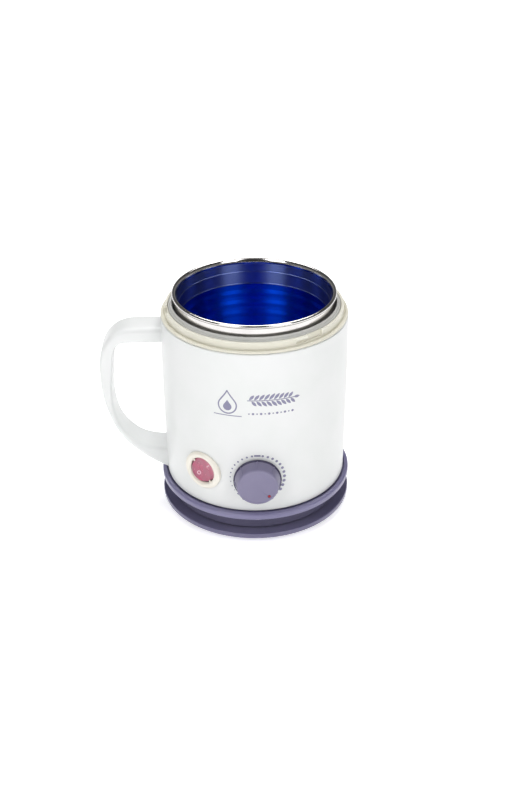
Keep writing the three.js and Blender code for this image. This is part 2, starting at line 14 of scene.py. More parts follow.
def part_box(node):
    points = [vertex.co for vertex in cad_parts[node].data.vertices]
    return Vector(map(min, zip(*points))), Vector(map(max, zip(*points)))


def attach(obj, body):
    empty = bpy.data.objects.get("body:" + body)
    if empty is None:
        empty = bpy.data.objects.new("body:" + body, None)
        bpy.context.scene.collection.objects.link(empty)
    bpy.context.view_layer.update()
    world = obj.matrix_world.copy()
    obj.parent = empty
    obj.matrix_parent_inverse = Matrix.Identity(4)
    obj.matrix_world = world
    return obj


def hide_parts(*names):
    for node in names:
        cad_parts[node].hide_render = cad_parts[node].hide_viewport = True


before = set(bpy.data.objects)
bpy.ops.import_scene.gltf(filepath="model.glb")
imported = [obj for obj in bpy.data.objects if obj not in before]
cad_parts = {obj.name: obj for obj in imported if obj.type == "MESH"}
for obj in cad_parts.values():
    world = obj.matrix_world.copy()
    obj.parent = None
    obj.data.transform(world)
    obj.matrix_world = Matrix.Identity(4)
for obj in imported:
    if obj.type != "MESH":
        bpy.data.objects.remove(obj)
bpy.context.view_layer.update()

MM = 0.001
FINE = 288  # facets of the large turned pieces
COARSE = 96  # facets of the small ones
FILLET_STEPS = 5
WELD = 1e-7  # metres: closer points are one point
SHARP = 32.0  # degrees: steeper edges are shaded sharp


def reach(node):
    """Largest radius of a turned CAD node about the warmer's axis, in mm."""
    low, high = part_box(node)
    return max(-low.y, high.y) / MM


def heights(node):
    low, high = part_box(node)
    return low.z / MM, high.z / MM


# ---- sizes, in mm
SHELL_BOTTOM, SHELL_TOP = heights("outer_shell")
SHELL_R = reach("outer_shell")
SHELL_WALL = 2.8
SHELL_INNER = SHELL_R - SHELL_WALL
COLLAR_R = reach("collar_ring")
COLLAR_TOP = heights("collar_ring")[1]
FLANGE_R = reach("base_flange_upper")
DRUM_R = reach("base_drum")
GASKET_BOTTOM, GASKET_TOP = heights("rim_gasket")
POT_BOTTOM, POT_TOP = heights("insert_pot")
KNOB_FACE = -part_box("temperature_knob")[0].y / MM
KNOB_BACK = -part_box("temperature_knob")[1].y / MM
KNOB_HEIGHT = (heights("temperature_knob")[0] + heights("temperature_knob")[1]) / 2
ROCKER_AZIMUTH = -35.0
ROCKER_HEIGHT = 49.5
ROCKER_ROLL = -45.0
ROCKER_PIVOT = 56.5
ROCKER_TILT = 8.0
HANDLE_HALF_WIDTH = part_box("handle")[1].y / MM


# ---- mesh helpers
def link_object(name, data):
    obj = bpy.data.objects.new(name, data)
    bpy.context.scene.collection.objects.link(obj)
    return obj


def link_mesh(name, build, mesh=None):
    """Makes an object of a bmesh, in the mesh given or a new one."""
    mesh = mesh or bpy.data.meshes.new(name)
    build.to_mesh(mesh)
    build.free()
    return link_object(name, mesh)


def shade(obj, sharp):
    obj.data.shade_smooth()
    obj.data.set_sharp_from_angle(angle=radians(sharp))
    return obj


def make_object(name, verts, faces, sharp=SHARP):
    mesh = bpy.data.meshes.new(name)
    mesh.from_pydata([tuple(v) for v in verts], [], faces)
    build = bmesh.new()
    build.from_mesh(mesh)
    bmesh.ops.remove_doubles(build, verts=build.verts, dist=WELD)
    bmesh.ops.dissolve_degenerate(build, edges=build.edges, dist=WELD / 10)
    bmesh.ops.recalc_face_normals(build, faces=build.faces)
    return shade(link_mesh(name, build, mesh), sharp)


def filleted(outline, closed):
    """Rounds the corners of an outline: a point is (r, z) or (r, z, fillet radius)."""
    count = len(outline)
    points = []
    for i, corner in enumerate(outline):
        here = Vector(corner[:2])
        radius = corner[2] if len(corner) > 2 else 0
        if radius == 0 or (not closed and i in (0, count - 1)):
            points.append(here)
            continue
        before = Vector(outline[i - 1][:2]) - here
        after = Vector(outline[(i + 1) % count][:2]) - here
        half = before.angle(after) / 2
        room = 0.49 * min(before.length, after.length)
        trim = min(radius / tan(half), room)
        start = here + before.normalized() * trim
        end = here + after.normalized() * trim
        for k in range(FILLET_STEPS + 1):
            t = k / FILLET_STEPS
            points.append(start * (1 - t) ** 2 + here * 2 * t * (1 - t) + end * t**2)
    return points


def even_angles(segments):
    return [360.0 * i / segments for i in range(segments)]


def turned(name, outline, closed=True, segments=FINE, angles=None, shape=None, sharp=SHARP, place=None):
    """A body of revolution from an outline in mm. shape(azimuth, r, z) may move a point, and place is a
    matrix for another axis."""
    points = filleted(outline, closed)
    angles = angles or even_angles(segments)
    verts = []
    for azimuth in angles:
        for point in points:
            r, z = (point.x, point.y) if shape is None else shape(azimuth, point.x, point.y)
            verts.append(circle_point(r, azimuth, z))
    count = len(points)
    spans = count if closed else count - 1
    faces = []
    for i in range(len(angles)):
        j = (i + 1) % len(angles)
        for k in range(spans):
            m = (k + 1) % count
            faces.append((i * count + k, j * count + k, j * count + m, i * count + m))
    if place is not None:
        verts = [place @ v for v in verts]
    return make_object(name, verts, faces, sharp)


def outward(azimuth, height=0.0, roll=0.0):
    """Local +Z leaves the warmer's axis at the azimuth; local +Y is up before it is rolled round +Z."""
    turn = radians(azimuth)
    across = Vector((cos(turn), sin(turn), 0))
    out = Vector((sin(turn), -cos(turn), 0))
    basis = Matrix((across, Vector((0, 0, 1)), out)).transposed().to_4x4()
    rolled = Matrix.Rotation(radians(roll), 4, "Z")
    return Matrix.Translation((0, 0, height * MM)) @ basis @ rolled


def circle_point(radius, azimuth, z):
    turn = radians(azimuth)
    return Vector((radius * sin(turn), -radius * cos(turn), z)) * MM


def boolean(target, tool, operation):
    modifier = target.modifiers.new("boolean", "BOOLEAN")
    modifier.operation = operation
    modifier.solver = "EXACT"
    modifier.object = tool
    bpy.context.view_layer.objects.active = target
    bpy.ops.object.modifier_apply(modifier=modifier.name)
    bpy.data.objects.remove(tool)


def cut(target, cutters):
    for cutter in cutters:
        boolean(target, cutter, "DIFFERENCE")


def smooth_cut(obj, sharp=SHARP):
    """Shades a cut mesh: sharp edges stay sharp and large faces stay flat."""
    obj.data.set_sharp_from_angle(angle=radians(sharp))
    modifier = obj.modifiers.new("normals", "WEIGHTED_NORMAL")
    modifier.keep_sharp = True
    bpy.context.view_layer.objects.active = obj
    bpy.ops.object.modifier_apply(modifier=modifier.name)


def rod(radius, start, end, place):
    """A plain cylinder, used only to cut holes."""
    outline = [(0, start), (radius, start), (radius, end), (0, end)]
    return turned("hole", outline, closed=False, segments=COARSE, place=place)


def rounded_box(name, size, centre, place, bevel):
    build = bmesh.new()
    bmesh.ops.create_cube(build, size=1)
    bmesh.ops.scale(build, vec=Vector(size) * MM, verts=build.verts)
    bmesh.ops.bevel(build, geom=build.edges[:], offset=bevel * MM, segments=3, affect="EDGES")
    bmesh.ops.translate(build, vec=Vector(centre) * MM, verts=build.verts)
    bmesh.ops.transform(build, matrix=place, verts=build.verts)
    return shade(link_mesh(name, build), 50)


def standing(radius, azimuth):
    return Matrix.Translation(circle_point(radius, azimuth, 0))


# ---- materials
def set_range(node, *numbers):
    """The first and last value that come in, and what each becomes."""
    for key, value in zip(("From Min", "From Max", "To Min", "To Max"), numbers):
        node.inputs[key].default_value = value


class Nodes:
    """Short calls for building a node tree."""

    def __init__(self, name):
        self.material = bpy.data.materials.new(name)
        self.material.use_nodes = True
        self.tree = self.material.node_tree
        self.shader = self.tree.nodes["Principled BSDF"]
        self.coords = self.tree.nodes.new("ShaderNodeTexCoord")

    def add(self, kind, **values):
        node = self.tree.nodes.new(kind)
        for key, value in values.items():
            if hasattr(node, key):
                setattr(node, key, value)
            else:
                node.inputs[key.replace("_", " ")].default_value = value
        return node

    def link(self, source, target):
        self.tree.links.new(source, target)

    def give(self, **values):
        """Sets the shader's inputs, each to a plain value or to another node's output."""
        for key, value in values.items():
            target = self.shader.inputs[key.replace("_", " ")]
            if isinstance(value, bpy.types.NodeSocket):
                self.link(value, target)
            else:
                target.default_value = value

    def noise(self, scale, detail=4.0, roughness=0.55, stretch=None):
        node = self.add("ShaderNodeTexNoise", Scale=scale, Detail=detail, Roughness=roughness)
        source = self.coords.outputs["Object"]
        if stretch:
            mapping = self.add("ShaderNodeMapping")
            mapping.inputs["Scale"].default_value = stretch
            self.link(source, mapping.inputs["Vector"])
            source = mapping.outputs["Vector"]
        self.link(source, node.inputs["Vector"])
        return node.outputs["Fac"]

    def span(self, source, low, high, to_low, to_high):
        node = self.add("ShaderNodeMapRange")
        set_range(node, low, high, to_low, to_high)
        self.link(source, node.inputs["Value"])
        return node.outputs["Result"]

    def mix(self, factor, first, second):
        node = self.add("ShaderNodeMix", data_type="RGBA")
        for socket, value in ((node.inputs[6], first), (node.inputs[7], second)):
            if isinstance(value, tuple):
                socket.default_value = (*value, 1)
            else:
                self.link(value, socket)
        self.link(factor, node.inputs[0])
        return node.outputs[2]

    def bump(self, source, strength, distance, previous=None):
        node = self.add("ShaderNodeBump", Strength=strength, Distance=distance)
        self.link(source, node.inputs["Height"])
        if previous is not None:
            self.link(previous, node.inputs["Normal"])
        return node.outputs["Normal"]

    def edges(self, low, high):
        """0 on flat areas, 1 on convex edges."""
        geometry = self.add("ShaderNodeNewGeometry")
        return self.span(geometry.outputs["Pointiness"], low, high, 0, 1)


# Noise scales, in features per metre of the object.
DRIFT_SCALE = 38.0
RUB_SCALE = 120.0
DUST_SCALE = 900.0
GRAIN_SCALE = 2600.0
LINE_SCALE = 700.0


def linear(red, green, blue):
    """sRGB 0-255 to scene-linear."""

    def one(value):
        value /= 255
        return value / 12.92 if value <= 0.04045 else ((value + 0.055) / 1.055) ** 2.4

    return one(red), one(green), one(blue)


def moulded(
    name, color, second, roughness, grain=0.06, coat=0.0, edge=None, speck=0.0, vary=0.15, specular=0.5
):
    """Moulded plastic or rubber: faint colour drift, a fine eroded grain, and convex edges painted lighter,
    partly as wear and partly as painted highlight.
    """
    n = Nodes(name)
    drift = n.span(n.noise(DRIFT_SCALE, 3.0), 0.35, 0.65, 0, 1)
    base = n.mix(drift, color, second)
    if speck > 0:
        dust = n.span(n.noise(DUST_SCALE, 2.0), 0.68, 0.74, 0, speck)
        base = n.mix(dust, base, tuple(min(1.0, c * 1.6 + 0.05) for c in color))
    if edge is not None:
        # convex edges take the lighter edge shade: partly wear, partly painted highlight
        base = n.mix(n.edges(0.52, 0.60), base, edge)
    rubbed = n.span(n.noise(RUB_SCALE, 5.0), 0.3, 0.7, roughness * (1 - vary), roughness * (1 + vary))
    texture = n.bump(n.noise(GRAIN_SCALE, 2.0), grain, 0.08 * MM)
    waves = n.bump(n.noise(DRIFT_SCALE, 1.0), 0.04, 0.1 * MM, texture)
    n.give(Base_Color=base, Roughness=rubbed, Normal=waves, Specular_IOR_Level=specular)
    n.give(Coat_Weight=coat, Coat_Roughness=0.12)
    return n.material


def metal(name, color, second, roughness, brushed=(1, 1, 1), bump=0.05, coat=0.0, spun=0.0):
    """Metal with fine turning or brushing lines and smudges. Spun metal spreads its highlights up and
    down the wall."""
    n = Nodes(name)
    if spun > 0:
        tangent = n.add("ShaderNodeTangent", direction_type="RADIAL", axis="Z")
        n.give(Tangent=tangent.outputs["Tangent"], Anisotropic=spun, Anisotropic_Rotation=0.25)
    base = n.mix(n.span(n.noise(DRIFT_SCALE), 0.35, 0.65, 0, 1), color, second)
    spread = 0.3 if spun == 0 else 0.1
    smudge = n.span(n.noise(DRIFT_SCALE, 5.0), 0.3, 0.7, roughness * (1 - spread), roughness * (1 + spread))
    lines = n.bump(n.noise(LINE_SCALE, 3.0, stretch=brushed), bump, 0.05 * MM)
    n.give(Base_Color=base, Roughness=smudge, Normal=lines, Metallic=1.0)
    n.give(Coat_Weight=coat, Coat_Roughness=0.06)
    return n.material


def plain_shades(name, shade, second_shade, roughness, edge=None, **options):
    """A moulded material from two sRGB shades, and a third, lighter one painted on its convex edges as wear
    and painted highlight.
    """
    rubbed = linear(*edge) if edge else None
    return moulded(name, linear(*shade), linear(*second_shade), roughness, edge=rubbed, **options)


ROUND = (0.2, 0.2, 14)  # turning lines: long round the wall, fine up and down
ALONG_Z = (1, 1, 20)
ALONG_X = (12, 1, 1)

# An edge shade below is painted on convex edges: partly wear, partly painted highlight.
WHITE = plain_shades(
    "white_plastic", (228, 229, 229), (225, 227, 226), 0.36, grain=0.02, vary=0.05, specular=0.35
)
CREAM = plain_shades(
    "cream_plastic", (226, 223, 209), (219, 216, 201), 0.42, grain=0.08, coat=0.1, edge=(242, 240, 230)
)
BEZEL_CREAM = plain_shades("bezel_plastic", (240, 236, 226), (234, 229, 217), 0.35, grain=0.05, coat=0.2)
GASKET = plain_shades(
    "grey_silicone", (205, 205, 201), (196, 196, 192), 0.62, grain=0.12, edge=(212, 212, 209)
)
BLACK_RUBBER = plain_shades(
    "black_rubber", (34, 34, 36), (26, 26, 28), 0.78, grain=0.2, edge=(70, 70, 72), speck=0.25
)
PURPLE = plain_shades(
    "purple_plastic", (126, 122, 156), (118, 114, 149), 0.34,
    grain=0.07, coat=0.15, edge=(152, 148, 180),
)
# painted shade: a darker copy of the purple for the lower flange, which lies under the upper one
PAINTED_SHADE_PURPLE = plain_shades(
    "purple_plastic_painted_shade", (109, 105, 136), (103, 99, 130), 0.34,
    grain=0.07, coat=0.15, edge=(140, 136, 168),
)
KNOB_PURPLE = plain_shades("knob_purple_plastic", (124, 119, 148), (118, 113, 142), 0.38, grain=0.1, coat=0.1)
# painted shade: the knob's back ring is dark for the shade in the gap between knob and casing
PAINTED_SHADE_SKIRT = plain_shades("knob_skirt_painted_shade", (52, 46, 78), (44, 38, 68), 0.5, grain=0.1)
# painted shade: the lower flange's top inside the lip, in a plum a little lighter than the drum's so the two
# read alike
PAINTED_SHADE_PLUM = plain_shades("plum_plastic", (110, 106, 134), (104, 101, 129), 0.7, grain=0.07)
DRUM_PLUM = plain_shades("plum_plastic_drum", (94, 90, 117), (88, 85, 111), 0.7, grain=0.07)
# painted shade: the bezel's opening is lined in dark mauve for the shadowed gap round the rocker
PAINTED_SHADE_LINER = plain_shades("mauve_painted_shade", (122, 60, 84), (110, 52, 74), 0.5, grain=0.07)
RED = plain_shades("red_plastic", (176, 26, 44), (150, 18, 36), 0.3, grain=0.04, coat=0.3)
BLACK_PLASTIC = plain_shades(
    "black_plastic", (36, 36, 40), (28, 28, 32), 0.5, grain=0.15, edge=(64, 64, 68)
)
PRINT = plain_shades("lilac_grey_print", (124, 122, 150), (134, 132, 159), 0.5, grain=0.05)
MAT_SILICONE = plain_shades("heater_silicone", (181, 84, 31), (160, 70, 26), 0.7, grain=0.25)
FIBRE = plain_shades("glass_fibre", (217, 214, 204), (190, 184, 168), 0.95, grain=0.8, speck=0.4)
BLUE_WIRE = plain_shades("blue_wire", (43, 79, 156), (36, 68, 140), 0.5)
BROWN_WIRE = plain_shades("brown_wire", (106, 67, 41), (92, 56, 34), 0.5)
STEEL = metal("steel", (0.56, 0.56, 0.55), (0.46, 0.46, 0.46), 0.3, ALONG_Z)
ALUMINIUM = metal("spun_aluminium", (0.72, 0.73, 0.75), (0.66, 0.67, 0.69), 0.36, ROUND, bump=0.1, spun=0.7)
POLISHED = metal("polished_rim", (0.70, 0.685, 0.675), (0.62, 0.60, 0.59), 0.12, ALONG_Z, bump=0.05)
POT_OUTSIDE = metal("pot_outside", (0.56, 0.56, 0.57), (0.53, 0.53, 0.54), 0.34, ROUND, bump=0.1, spun=0.7)
COPPER = metal("copper", (0.72, 0.40, 0.27), (0.60, 0.33, 0.22), 0.3, ALONG_X)
BLUE = metal(
    "blue_lacquer", (0.001, 0.065, 0.72), (0.001, 0.05, 0.58), 0.42, ROUND, bump=0.1, coat=1.0, spun=0.98
)
# painted reflection: a paler lacquer on the band above the lower bead stands in for mirrored softboxes
PAINTED_REFLECTION_LACQUER = metal(
    "lacquer_painted_reflection", (0.15, 0.21, 0.50), (0.13, 0.18, 0.45), 0.34, ROUND, bump=0.1, coat=1.0, spun=0.98
)


def rocker_plastic():
    """Translucent pinkish red plastic with ribs and lamp shadows faintly seen through it."""
    n = Nodes("rocker_plastic")
    blotches = n.span(n.noise(210.0, 2.0), 0.35, 0.75, 0, 1)
    base = n.mix(blotches, linear(214, 96, 132), linear(192, 116, 140))
    rubbed = n.span(n.noise(300.0, 3.0), 0.3, 0.7, 0.16, 0.3)
    waves = n.bump(n.noise(420.0, 3.0), 0.05, 0.1 * MM)
    n.give(Base_Color=base, Roughness=rubbed, Normal=waves)
    n.give(Transmission_Weight=0.35, IOR=1.49, Coat_Weight=0.5)
    return n.material


def lamp_glass():
    n = Nodes("lamp_glass")
    base = n.mix(n.noise(300.0), (0.95, 0.72, 0.60), (0.90, 0.62, 0.50))
    rubbed = n.span(n.noise(200.0), 0, 1, 0.03, 0.1)
    n.give(Base_Color=base, Roughness=rubbed, Transmission_Weight=0.9)
    return n.material


CORE_LIGHT = plain_shades("rocker_core_light", (236, 150, 170), (226, 130, 154), 0.4)
# painted shade: the dark core colour stands in for the shadow inside the rocker
CORE_PAINTED_SHADE = plain_shades("rocker_core_painted_shade", (120, 80, 98), (104, 66, 84), 0.5)
MARK = plain_shades("pale_pink_print", (240, 206, 216), (232, 190, 204), 0.45)
ROCKER = rocker_plastic()
LAMP = lamp_glass()


def dress(obj, *materials):
    obj.data.materials.clear()
    for material in materials:
        obj.data.materials.append(material)
    return obj


def piece(obj, slot, *replaced, body="root"):
    """Attaches an object to the body it moves with and hides the CAD nodes it stands for. slot is not used.
    """
    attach(obj, body)
    if replaced:
        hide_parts(*replaced)


# ---- casing
def shell_radius(z):
    """Outer radius of the casing at a height, in mm: a very slight barrel that draws in at both ends."""
    t = (z - SHELL_BOTTOM) / (SHELL_TOP - SHELL_BOTTOM)
    draw_in_low = 0.6 * (1 - min(1, t / 0.6)) ** 2
    draw_in_high = 0.5 * max(0, (t - 0.68) / 0.32) ** 2
    return SHELL_R - draw_in_low - draw_in_high


BARREL_STEPS = 40
SHAFT_HOLE_R = 5.0
SWITCH_HOLE_R = 10.5
HOLE_FROM, HOLE_TO = 50, 66  # distances from the axis that every hole in the casing spans


def make_shell():
    outline = [(SHELL_INNER, SHELL_BOTTOM, 0.3), (shell_radius(SHELL_BOTTOM), SHELL_BOTTOM, 0.5)]
    for i in range(1, BARREL_STEPS):
        z = SHELL_BOTTOM + (SHELL_TOP - SHELL_BOTTOM) * i / BARREL_STEPS
        outline.append((shell_radius(z), z))
    outline += [(shell_radius(SHELL_TOP), SHELL_TOP, 0.9), (SHELL_INNER, SHELL_TOP, 0.3)]
    obj = turned("casing", outline)
    shaft_hole = rod(SHAFT_HOLE_R, HOLE_FROM, HOLE_TO, outward(0, KNOB_HEIGHT))
    switch_hole = rod(SWITCH_HOLE_R, HOLE_FROM, HOLE_TO, outward(ROCKER_AZIMUTH, ROCKER_HEIGHT))
    cut(obj, [shaft_hole, switch_hole])
    smooth_cut(obj)
    piece(dress(obj, WHITE), "white_plastic", "outer_shell")


def bezier(points, t):
    a, b, c, d = (Vector(p) for p in points)
    return a * (1 - t) ** 3 + b * 3 * t * (1 - t) ** 2 + c * 3 * t**2 * (1 - t) + d * t**3


# The handle's side view: three spans, each a number of steps, the outer edge and the inner edge, both
# edges being Bezier curves of (x, z) points.
HANDLE_TOP, HANDLE_BOTTOM = 131.2, 120.4
HANDLE_REACH = 100.97
HANDLE_ROOT = -59.4
HANDLE_EDGES = (
    (10, ((HANDLE_ROOT, HANDLE_TOP), (-66, HANDLE_TOP), (-72, HANDLE_TOP), (-77, HANDLE_TOP)),
     ((HANDLE_ROOT, HANDLE_BOTTOM), (-68, HANDLE_BOTTOM), (-76, HANDLE_BOTTOM), (-84, HANDLE_BOTTOM))),
    (30, ((-77, HANDLE_TOP), (-90, HANDLE_TOP), (-HANDLE_REACH, 122), (-HANDLE_REACH, 102)),
     ((-84, HANDLE_BOTTOM), (-93, HANDLE_BOTTOM), (-91.5, 106), (-93.9, 88))),
    (56, ((-HANDLE_REACH, 102), (-102.97, 62), (-86.5, 38.5), (HANDLE_ROOT, 25.2)),
     ((-93.9, 88), (-95.5, 58), (-84, 42.2), (HANDLE_ROOT, 42.2))),
)


CORNER_R = 3.4
CORNER_STEPS = 8


def handle_section(outer, inner):
    """A rounded oblong between the outer and inner edge points."""
    middle = (outer + inner) / 2
    out = outer - inner
    half = out.length / 2
    out.normalize()
    corner = min(CORNER_R, half * 0.96)
    points = []
    for quarter in range(4):
        out_sign = 1 if quarter in (0, 3) else -1
        side_sign = 1 if quarter < 2 else -1
        for k in range(CORNER_STEPS + 1):
            angle = (quarter + k / CORNER_STEPS) * pi / 2
            u = out_sign * (half - corner) + corner * cos(angle)
            v = side_sign * (HANDLE_HALF_WIDTH - corner) + corner * sin(angle)
            points.append(Vector((middle.x + out.x * u, v, middle.y + out.y * u)) * MM)
    return points


def make_handle():
    sections = []
    for steps, outer, inner in HANDLE_EDGES:
        for i in range(0 if not sections else 1, steps + 1):
            t = i / steps
            sections.append(handle_section(bezier(outer, t), bezier(inner, t)))
    count = len(sections[0])
    verts = [p for section in sections for p in section]
    faces = []
    for i in range(len(sections) - 1):
        for k in range(count):
            m = (k + 1) % count
            faces.append((i * count + k, i * count + m, (i + 1) * count + m, (i + 1) * count + k))
    faces.append(tuple(range(count)))
    faces.append(tuple(range(len(verts) - count, len(verts))))
    obj = make_object("mug_handle", verts, faces, 50)
    piece(dress(obj, WHITE), "white_plastic", "handle")


# ---- collar and seal
SLOT_COUNT = 3
SLOT_ENTRY = (33.0, 45.0)  # degrees, where a lug drops in
SLOT_CHANNEL = 25.0
SLOT_FLOOR, SLOT_CHANNEL_TOP = 140.5, 142.5  # heights of the channel that a cover's lug turns into
SLOT_DEPTH = 1.35
EDGE_TURN = 0.25  # degrees over which a slot's side wall falls


def slot_depth(azimuth, z):
    """How far the collar's wall is set back at a point, in mm."""
    local = azimuth % (360.0 / SLOT_COUNT)
    if z < SLOT_FLOOR:
        return 0.0
    start = SLOT_ENTRY[0] if z > SLOT_CHANNEL_TOP else SLOT_CHANNEL
    rise = min((local - start) / EDGE_TURN, (SLOT_ENTRY[1] - local) / EDGE_TURN)
    return SLOT_DEPTH * max(0.0, min(1.0, rise))


def collar_angles():
    angles = set(even_angles(FINE))
    for i in range(SLOT_COUNT):
        for edge in (SLOT_CHANNEL, SLOT_ENTRY[0], SLOT_ENTRY[1] - EDGE_TURN):
            for k in range(4):
                angles.add((edge + EDGE_TURN * k / 3 + 360.0 / SLOT_COUNT * i) % 360)
    return sorted(angles)


def make_collar():
    """From the foot inside the casing, over the ledge on its edge, up the slotted wall and down inside."""
    wall = 57.3
    inner = 55.5
    shelf_r, shelf = 54.2, 140.7
    ledge = SHELL_TOP + 0.3
    bottom = heights("collar_ring")[0]
    outline = [
        (shelf_r, bottom, 0.2), (SHELL_INNER - 0.3, bottom, 0.3), (SHELL_INNER - 0.3, ledge),
        (COLLAR_R - 1.2, ledge), (COLLAR_R - 1.1, ledge + 0.3, 0.1),
        (COLLAR_R, ledge + 0.3, 0.2), (COLLAR_R, ledge + 1.0, 0.3),
        (COLLAR_R - 0.4, ledge + 1.35, 0.3), (wall + 1.05, ledge + 1.5, 0.2),
        (wall + 0.8, ledge + 0.85, 0.15), (wall + 0.1, ledge + 0.85, 0.15), (wall, ledge + 1.3),
        (wall, SLOT_FLOOR - 0.02), (wall, SLOT_FLOOR + 0.06), (wall, SLOT_CHANNEL_TOP - 0.04),
        (wall, SLOT_CHANNEL_TOP + 0.04), (wall, COLLAR_TOP - 0.45),
        (wall - 0.13, COLLAR_TOP - 0.13), (wall - 0.45, COLLAR_TOP), (inner + 0.4, COLLAR_TOP),
        (inner + 0.1, COLLAR_TOP - 0.1), (inner, COLLAR_TOP - 0.4), (inner, shelf, 0.2),
        (shelf_r, shelf, 0.2),
    ]

    def shape(azimuth, r, z):
        if r > inner + 1.0 and z > SLOT_FLOOR:
            r -= slot_depth(azimuth, z)
        return max(r, inner + 0.45) if z > COLLAR_TOP - 0.5 and r > inner + 0.5 else r, z

    obj = turned("cover_collar", outline, angles=collar_angles(), shape=shape)
    piece(dress(obj, CREAM), "cream_plastic", "collar_ring")


def make_gasket():
    """The seal's lip, with a crease along its top."""
    outline = [
        (52.7, GASKET_BOTTOM, 0.2), (55.2, GASKET_BOTTOM, 0.2), (55.2, 143.5, 0.5),
        (54.9, 144.6, 0.4), (54.35, 144.75, 0.12), (54.1, 144.4, 0.1), (53.85, 145.1, 0.2),
        (53.6, GASKET_TOP, 0.7), (52.75, GASKET_TOP, 0.5), (52.7, 144.6, 0.4),
        (52.95, 144.2, 0.2), (52.7, 143.6, 0.4),
    ]
    obj = turned("lid_seal", outline)
    piece(dress(obj, GASKET), "grey_silicone", "rim_gasket")


# ---- well and lift-out pot
def make_well():
    low, high = heights("heating_well")
    outside, bore, floor = 53.8, 52.4, 1.6
    flange_r, flange_low, flange_high = 57.4, 134.6, 136.0
    outline = [
        (0, low), (outside, low, 3.2), (outside, flange_low, 0.4), (flange_r, flange_low, 0.2),
        (flange_r, flange_high, 0.2), (outside, flange_high, 0.4), (outside, high, 0.5),
        (bore, high, 0.5), (bore, low + floor, 3.0), (0, low + floor),
    ]
    obj = turned("well_cup", outline, closed=False)
    piece(dress(obj, ALUMINIUM), "aluminium", "heating_well")


BEAD = 0.38


def bead(radius, height):
    """A small half-round bead that stands out from the pot's inner wall."""
    points = [(radius, height + BEAD + 0.25, 0.15)]
    for i in range(9):
        angle = radians(90 + 180 * i / 8)
        points.append((radius + 0.05 + BEAD * cos(angle), height + BEAD * sin(angle)))
    return points + [(radius, height - BEAD - 0.25, 0.15)]


ROLL_R = 1.25
FLARE_WIDTH, FLARE_HEIGHT = 2.0, 3.8  # inside the rim, from its crest down towards the lacquer
LACQUER_TOP = 149.4
PAINTED_REFLECTION_FOOT = 135.2  # the inside is painted paler above this height, a painted reflection
POLISH_FOOT = 143.0  # the outside is polished above this one


def pot_outline():
    """Outside from the floor up, over the rolled rim and its flare, and down the beaded inside."""
    neck, body, floor_thickness = 51.3, 50.9, 1.4
    rim_z = POT_TOP - ROLL_R
    outer = [(0, POT_BOTTOM), (body, POT_BOTTOM, 3.4), (body, 143.2, 0.6), (neck, 144.4, 0.8)]
    rim = []
    for step in range(-90, 91, 12):
        angle = radians(step)
        rim.append((neck + ROLL_R * cos(angle), rim_z + ROLL_R * sin(angle)))
    for step in range(5, 86, 5):
        angle = radians(step)
        rim.append((neck - FLARE_WIDTH * sin(angle), POT_TOP - FLARE_HEIGHT * (1 - cos(angle))))
    inner = bead(48.75, 144.0) + bead(48.25, 135.7) + [(48.9, 134.0, 1.0)]
    ribs = []
    for centre in (128.0, 120.5, 113.0):
        ribs += [(49.5, centre + 2.6, 1.2), (48.9, centre, 1.8), (49.5, centre - 2.6, 1.2)]
    floor = [(49.6, POT_BOTTOM + floor_thickness, 3.4), (0, POT_BOTTOM + floor_thickness)]
    return outer, rim, inner + ribs + floor


def make_pot():
    outer, rim, inner = pot_outline()
    obj = turned("lift_out_pot", outer + rim + inner, closed=False, sharp=60)
    dress(obj, POLISHED, BLUE, PAINTED_REFLECTION_LACQUER, POT_OUTSIDE)
    blue, neck, outside = 1, 2, 3
    for face in obj.data.polygons:
        z = face.center.z / MM
        outwards = face.normal.x * face.center.x + face.normal.y * face.center.y
        level = face.normal.z > 0.9
        if outwards < 0 or level:
            if z < LACQUER_TOP:
                # the band above the lower bead takes the paler lacquer, a painted reflection
                face.material_index = neck if z > PAINTED_REFLECTION_FOOT else blue
        elif z < POLISH_FOOT:
            face.material_index = outside
    piece(obj, "pot_metal", "insert_pot", body="pot")


# ---- base
SCREW_AZIMUTHS = (70, 110, 250, 290)
SCREW_CIRCLE_R = 51.5
FOOT_AZIMUTHS = (45, 135, 225, 315)
FOOT_CIRCLE_R = 54
FOOT_R, CENTRE_FOOT_R = 6.0, 9.0


def make_upper_flange():
    """A plate with a thick rim, a moat that the casing stands in, and a wall that fits inside the casing."""
    low = heights("base_flange_upper")[0]
    top = low + 4.6
    hole_r, seat_r = 20, 53.6
    outline = [
        (hole_r, low + 0.8, 0.3), (seat_r, low + 0.8, 0.2), (seat_r, low, 0.2),
        (FLANGE_R, low, 1.1), (FLANGE_R, top - 0.6, 1.6), (FLANGE_R - 2.0, top, 1.2),
        (61.3, top - 0.05, 0.35), (61.2, top - 1.7, 0.2), (57.6, top - 1.7),
        (57.6, low + 10, 0.4), (55.4, low + 10, 0.4), (55.4, low + 3, 0.3),
        (hole_r, low + 3, 0.3),
    ]
    obj = turned("spool_flange_upper", outline)
    piece(dress(obj, PURPLE), "purple_plastic", "base_flange_upper")


INLET_AZIMUTH, INLET_HEIGHT = 180, 13.7
INLET_HOLE_R = 4.7


def make_drum():
    """A short tube with a slight waist and the cord's hole at the back."""
    low, high = heights("base_drum")
    inside, waist = DRUM_R - 2.4, DRUM_R - 0.35
    outline = [
        (inside, low, 0.2), (DRUM_R, low, 0.25), (DRUM_R, low + 0.9, 0.6),
        (waist, low + 1.6, 0.6), (waist, high - 1.6, 0.6), (DRUM_R, high - 0.9, 0.6),
        (DRUM_R, high, 0.25), (inside, high, 0.2),
    ]
    obj = turned("cord_drum", outline)
    cut(obj, [rod(INLET_HOLE_R, HOLE_FROM, HOLE_TO, outward(INLET_AZIMUTH, INLET_HEIGHT))])
    smooth_cut(obj)
    piece(dress(obj, DRUM_PLUM), "plum_plastic", "base_drum")


